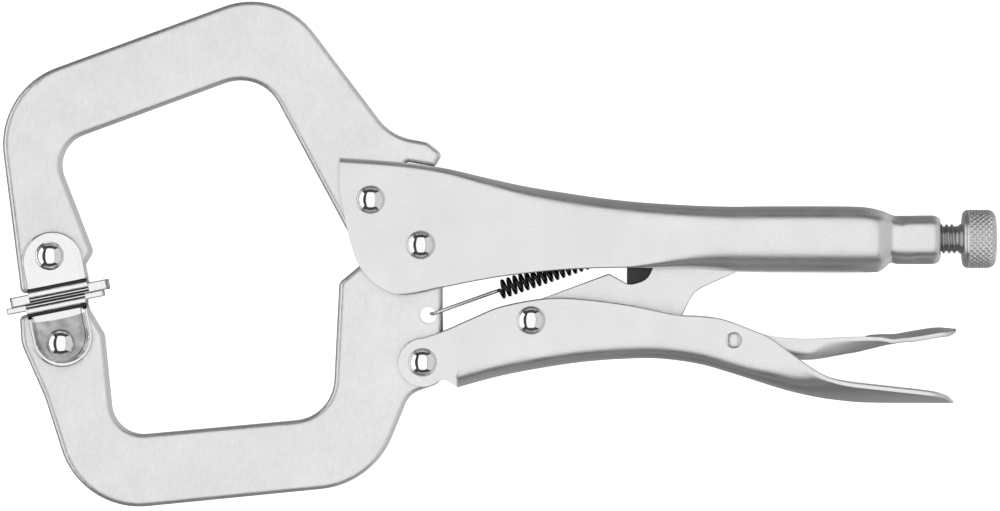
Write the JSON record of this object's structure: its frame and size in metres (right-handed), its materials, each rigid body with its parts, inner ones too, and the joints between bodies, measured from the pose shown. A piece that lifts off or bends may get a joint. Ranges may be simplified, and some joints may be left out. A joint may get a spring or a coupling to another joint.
{
  "type": "locking c clamp",
  "caption": "Toggle locking C clamp with two deep forged jaws, riveted swivel pads, folded steel handles, a release lever and a knurled adjusting screw.",
  "frame": {"origin": "centre of the bounding box, on the surface that the clamp lies on", "axes": "+X from the jaws to the adjusting knob, +Y to the back of the upper handle, +Z the thickness; the clamp lies flat on its side"},
  "size_m": [0.2798, 0.1422, 0.0208],
  "materials": {
    "satin_nickel": "satin nickel plate on folded sheet steel",
    "forged_nickel": "satin nickel plate on forged steel",
    "bright_nickel": "bright nickel plate",
    "polished_steel": "polished domed heads",
    "screw_steel": "turned and threaded",
    "knurled_steel": "diamond knurl",
    "black_oxide": "black oxide spring wire"
  },
  "bodies": {
    "upper_handle": {"upper_handle": "satin_nickel", "fixed_jaw": "forged_nickel", "fixed_jaw_rivet": "polished_steel", "jaw_pivot_rivet": "polished_steel", "threaded_insert": "screw_steel", "spring_anchor": "black_oxide", "return_spring": "black_oxide"},
    "moving_jaw": {"moving_jaw": "forged_nickel"},
    "lower_handle": {"lower_handle": "satin_nickel", "handle_pivot_rivet": "polished_steel", "link_pivot_rivet": "polished_steel", "release_lever_rivet": "satin_nickel", "link_spacers": "screw_steel"},
    "toggle_link": {"toggle_link": "satin_nickel"},
    "release_lever": {"release_lever": "satin_nickel"},
    "upper_pad": {"upper_pad": "bright_nickel", "upper_pad_rivet": "polished_steel"},
    "lower_pad": {"lower_pad": "bright_nickel", "lower_pad_rivet": "polished_steel"},
    "adjusting_screw": {"adjusting_screw": "screw_steel"},
    "adjusting_knob": {"adjusting_knob": "knurled_steel"}
  },
  "joints": [
    {"name": "jaw_swing", "type": "hinge", "parent": "upper_handle", "child": "moving_jaw", "pos_m": [-0.0224, 0.0027, 0.0104], "axis": [0, 0, 1], "range_deg": [0, 23], "deforming": ["return_spring"]},
    {"name": "handle_fold", "type": "hinge", "parent": "moving_jaw", "child": "lower_handle", "pos_m": [-0.0219, -0.0303, 0.0104], "axis": [0, 0, 1], "range_deg": [-68, 0]},
    {"name": "link_fold", "type": "hinge", "parent": "lower_handle", "child": "toggle_link", "pos_m": [0.0086, -0.0185, 0.0104], "axis": [0, 0, 1], "range_deg": [0, 68]},
    {"name": "lever_release", "type": "hinge", "parent": "lower_handle", "child": "release_lever", "pos_m": [0.0656, -0.0241, 0.0104], "axis": [0, 0, 1], "range_deg": [-8, 0]},
    {"name": "upper_pad_swivel", "type": "hinge", "parent": "upper_handle", "child": "upper_pad", "pos_m": [-0.1267, -0.0004, 0.0104], "axis": [0, 0, 1], "range_deg": [0, 12]},
    {"name": "lower_pad_swivel", "type": "hinge", "parent": "moving_jaw", "child": "lower_pad", "pos_m": [-0.1236, -0.025, 0.0104], "axis": [0, 0, 1], "range_deg": [-12, 0]},
    {"name": "screw_feed", "type": "slide", "parent": "upper_handle", "child": "adjusting_screw", "axis": [1, 0, 0], "range_m": [0, 0.024]},
    {"name": "knob_turn", "type": "hinge", "parent": "adjusting_screw", "child": "adjusting_knob", "pos_m": [0.135, 0.0044, 0.0104], "axis": [1, 0, 0], "range_deg": [0, 5787]}
  ],
  "couplings": [
    {"joint": "handle_fold", "follows": "jaw_swing", "ratio": -2.95},
    {"joint": "link_fold", "follows": "jaw_swing", "ratio": 2.95},
    {"joint": "upper_pad_swivel", "follows": "jaw_swing", "ratio": 0.5},
    {"joint": "lower_pad_swivel", "follows": "jaw_swing", "ratio": -0.5},
    {"joint": "knob_turn", "follows": "screw_feed", "rad_per_m": 4188.8}
  ]
}
